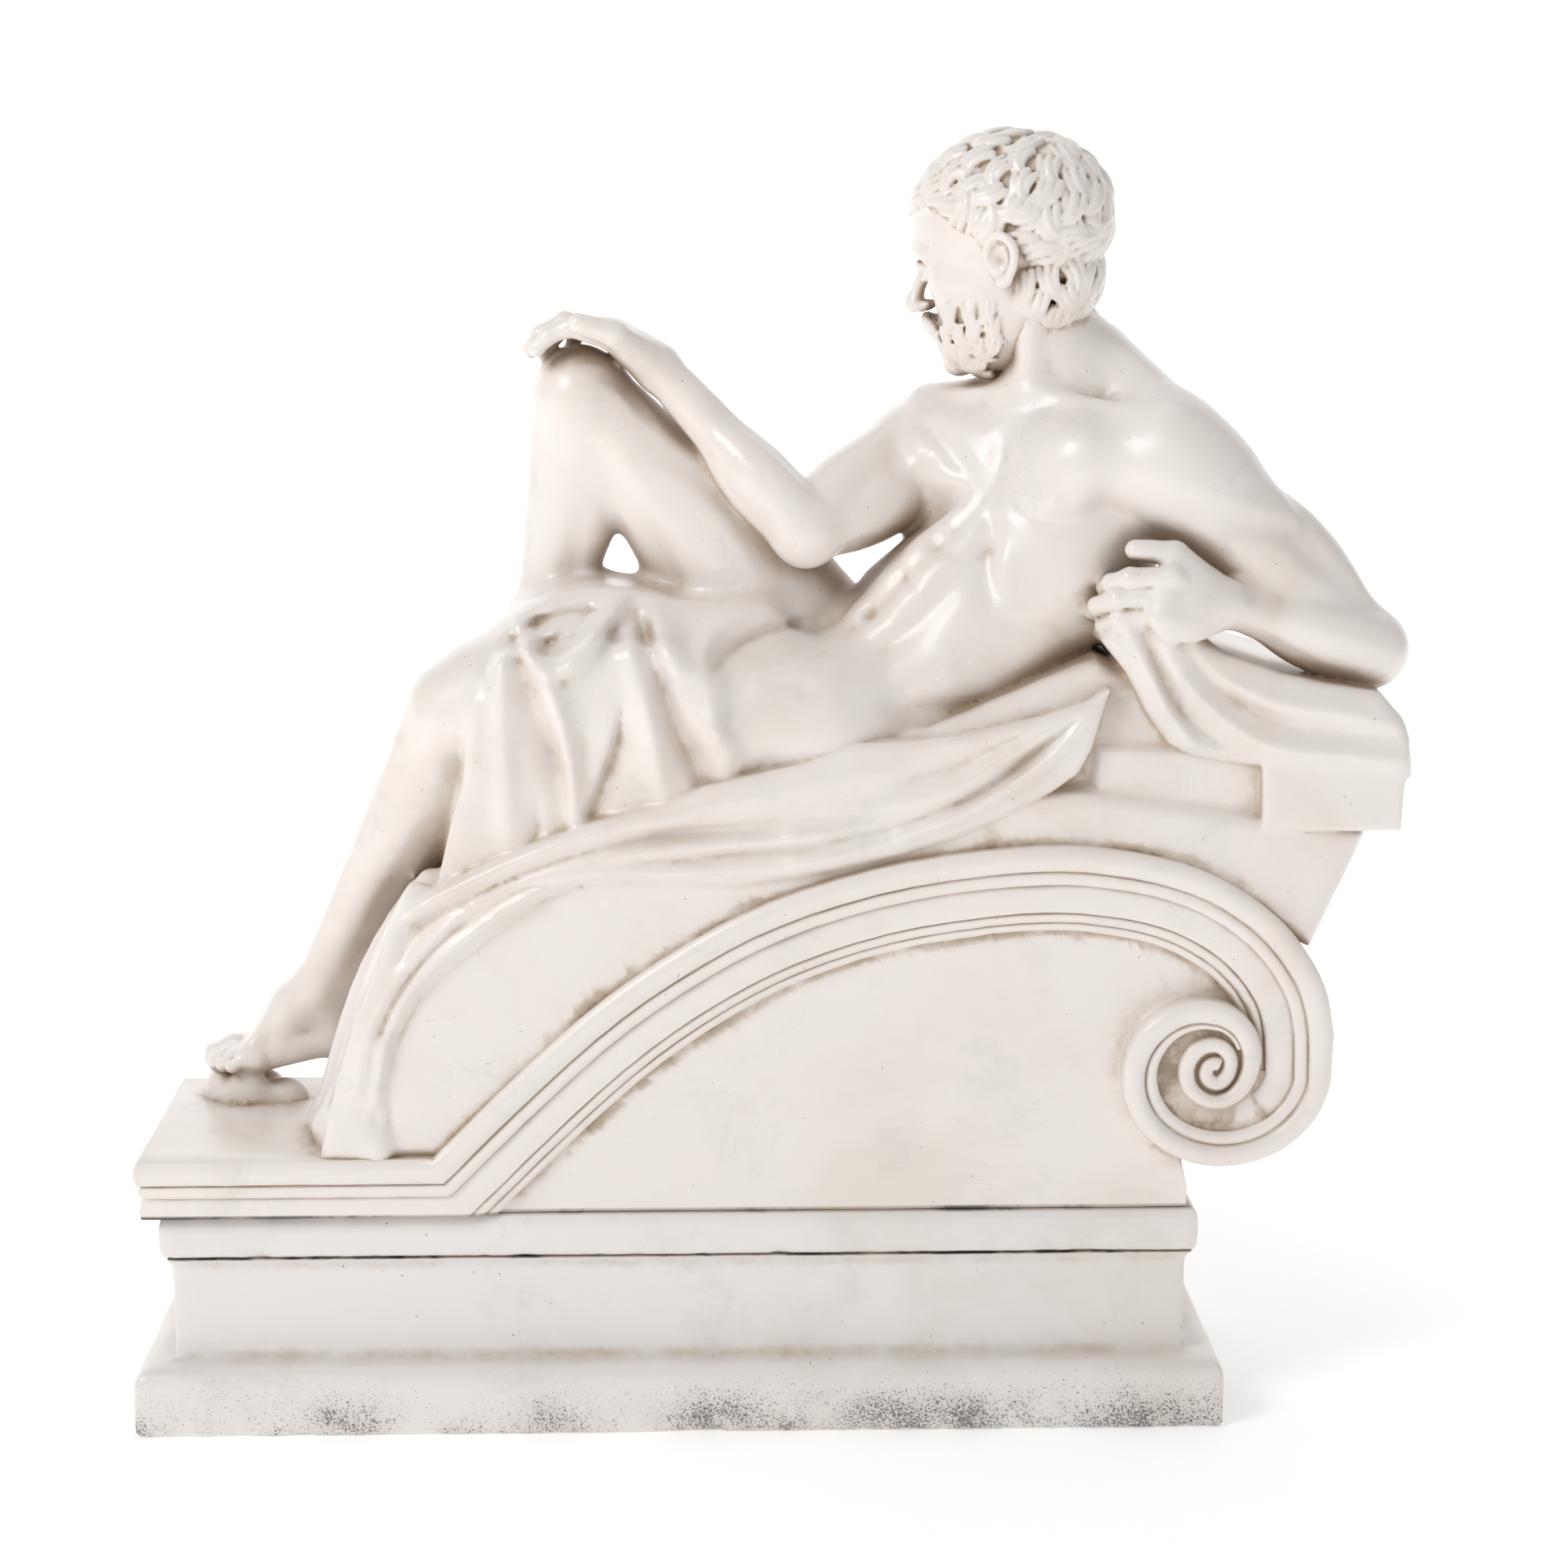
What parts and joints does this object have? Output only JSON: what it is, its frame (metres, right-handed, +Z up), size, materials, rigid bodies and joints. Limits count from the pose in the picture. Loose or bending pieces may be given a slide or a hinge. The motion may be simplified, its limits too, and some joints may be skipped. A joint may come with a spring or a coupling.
{
  "type": "classical marble statue",
  "caption": "Marble statue of a bearded man reclining on a draped couch over a scroll-ended lid, on its moulded plinth.",
  "frame": {"origin": "centre of the plinth's underside", "axes": "+X from the figure's feet to its head, +Y from the front to the back, +Z up"},
  "size_m": [0.9299, 0.2435, 0.9448],
  "materials": {
    "statue_marble": "polished marble",
    "plinth_marble": "honed marble with dirt in the creases"
  },
  "bodies": {
    "root": {"reclining_figure": "statue_marble", "plinth": "plinth_marble"}
  },
  "joints": []
}
